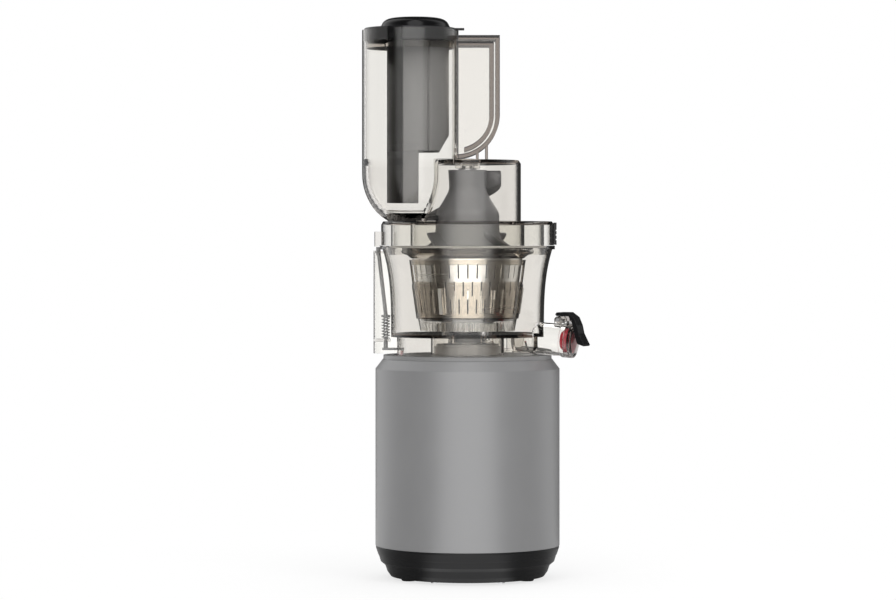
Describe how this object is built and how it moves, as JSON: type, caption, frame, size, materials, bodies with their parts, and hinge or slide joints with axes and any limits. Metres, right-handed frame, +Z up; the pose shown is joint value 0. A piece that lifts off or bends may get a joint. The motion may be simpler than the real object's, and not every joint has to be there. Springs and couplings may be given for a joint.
{
  "type": "slow juicer",
  "caption": "Upright slow juicer: round motor base, clear bowl with strainer, spinning brush and auger, capped juice spout, wide offset feed tube and stepped pusher.",
  "frame": {"origin": "on the drive axis, in the plane that the rubber feet stand on", "axes": "+Z up along the drive axis; the feed tube stands off towards -X; the picture looks along +Y"},
  "size_m": [0.1991, 0.1821, 0.4927],
  "materials": {
    "grey_shell": "satin silver grey paint",
    "black_plastic": "fine satin moulding",
    "black_gloss": "high gloss moulding",
    "black_rubber": "matt rubber",
    "steel": "ground steel",
    "strainer_steel": "bright slit steel sheet",
    "laminations": "stacked sheet steel",
    "cast_alloy": "as cast",
    "board": "green circuit board",
    "white_plastic": "natural acetal",
    "smoky_clear": "clear plastic with a faint smoky tint",
    "smoky_brown": "dark smoky translucent plastic",
    "red_silicone": "soft red silicone",
    "pale_silicone": "soft pale silicone",
    "rod_grey": "satin grey plastic",
    "auger_grey": "satin grey plastic",
    "cap_grey": "light grey plastic",
    "stem_grey": "satin dark grey plastic"
  },
  "bodies": {
    "base": {"body_shell": "grey_shell", "base_skirt": "black_plastic", "bottom_plate": "black_plastic", "feet": "black_rubber", "bottom_screws": "steel", "top_deck": "black_plastic", "drive_boss": "grey_shell", "motor_stator": "laminations", "motor_bracket": "cast_alloy", "motor_mounts": "black_rubber", "gearbox_base": "cast_alloy", "gearbox_cover": "cast_alloy", "shaft_bearings": "steel", "control_board": "board", "rocker_frame": "black_plastic", "safety_switch": "black_plastic", "cord_inlet": "black_rubber"},
    "rotor": {"rotor_core": "laminations", "motor_shaft": "steel", "cooling_fan": "white_plastic"},
    "lay_shaft": {"lay_gear": "white_plastic", "lay_pinion": "steel"},
    "drive": {"output_gear": "white_plastic", "drive_shaft": "steel"},
    "rocker": {"rocker_button": "black_gloss"},
    "plunger": {"switch_plunger": "red_silicone"},
    "bowl": {"bowl": "smoky_clear", "juice_spout": "smoky_clear", "rod_column": "smoky_clear", "rod_spring": "steel", "pulp_duct": "smoky_clear", "pulp_seal": "red_silicone", "shaft_seal": "red_silicone", "idler_pin": "steel", "cap_pin": "steel", "strainer_frame": "smoky_brown", "strainer_drum": "strainer_steel"},
    "interlock": {"safety_rod": "rod_grey"},
    "idler": {"idler_gear": "white_plastic"},
    "brush": {"brush_frame": "smoky_brown", "brush_ring_gear": "smoky_clear", "brush_wipers": "pale_silicone"},
    "auger": {"auger": "auger_grey", "auger_gear": "white_plastic", "cutter_wing": "black_gloss", "auger_pin": "steel"},
    "spout_cap": {"cap_body": "cap_grey", "cap_lever": "black_gloss", "cap_seal": "red_silicone"},
    "hopper": {"lid_plate": "smoky_clear", "auger_chamber": "smoky_clear", "feed_tube": "smoky_clear", "grip_box": "smoky_clear", "lock_tab": "black_gloss", "lid_gasket": "pale_silicone", "top_bush": "black_plastic"},
    "pusher": {"pusher_cap": "black_gloss", "pusher_stem": "stem_grey", "pusher_ring": "smoky_brown"}
  },
  "joints": [
    {"name": "rotor_spin", "type": "hinge", "parent": "base", "child": "rotor", "pos_m": [0, 0, 0.06], "axis": [0, 0, 1], "continuous": true},
    {"name": "lay_spin", "type": "hinge", "parent": "base", "child": "lay_shaft", "pos_m": [0, -0.0375, 0.12], "axis": [0, 0, 1], "continuous": true},
    {"name": "drive_spin", "type": "hinge", "parent": "base", "child": "drive", "pos_m": [0, 0, 0.15], "axis": [0, 0, 1], "continuous": true},
    {"name": "rocker_tilt", "type": "hinge", "parent": "base", "child": "rocker", "pos_m": [0, 0.078, 0.14], "axis": [1, 0, 0], "range_deg": [-8, 8]},
    {"name": "plunger_press", "type": "slide", "parent": "base", "child": "plunger", "axis": [0, 0, 1], "range_m": [0, 0.002]},
    {"name": "bowl_lift", "type": "slide", "parent": "base", "child": "bowl", "axis": [0, 0, 1], "range_m": [0, 0.06]},
    {"name": "interlock_rise", "type": "slide", "parent": "bowl", "child": "interlock", "axis": [0, 0, 1], "range_m": [0, 0.0028], "deforming": ["rod_spring"]},
    {"name": "idler_spin", "type": "hinge", "parent": "bowl", "child": "idler", "pos_m": [0.0135, -0.02338, 0.22], "axis": [0, 0, 1], "continuous": true},
    {"name": "brush_spin", "type": "hinge", "parent": "bowl", "child": "brush", "pos_m": [0, 0, 0.24], "axis": [0, 0, 1], "continuous": true},
    {"name": "auger_spin", "type": "hinge", "parent": "bowl", "child": "auger", "pos_m": [0, 0, 0.28], "axis": [0, 0, 1], "continuous": true},
    {"name": "cap_open", "type": "hinge", "parent": "bowl", "child": "spout_cap", "pos_m": [0.08113, -0.03278, 0.22759], "axis": [-0.3746, -0.9272, 0], "range_deg": [0, 95]},
    {"name": "hopper_twist", "type": "hinge", "parent": "bowl", "child": "hopper", "pos_m": [0, 0, 0.3], "axis": [0, 0, 1], "range_deg": [0, 40]},
    {"name": "pusher_lift", "type": "slide", "parent": "hopper", "child": "pusher", "axis": [0, 0, 1], "range_m": [0, 0.14]}
  ],
  "couplings": [
    {"joint": "lay_spin", "follows": "rotor_spin", "ratio": -0.2},
    {"joint": "drive_spin", "follows": "rotor_spin", "ratio": 0.04},
    {"joint": "auger_spin", "follows": "rotor_spin", "ratio": 0.04},
    {"joint": "idler_spin", "follows": "rotor_spin", "ratio": -0.08},
    {"joint": "brush_spin", "follows": "rotor_spin", "ratio": -0.02},
    {"joint": "interlock_rise", "follows": "hopper_twist", "m_per_rad": 0.0040067},
    {"joint": "plunger_press", "follows": "hopper_twist", "m_per_rad": 0.0028619}
  ]
}
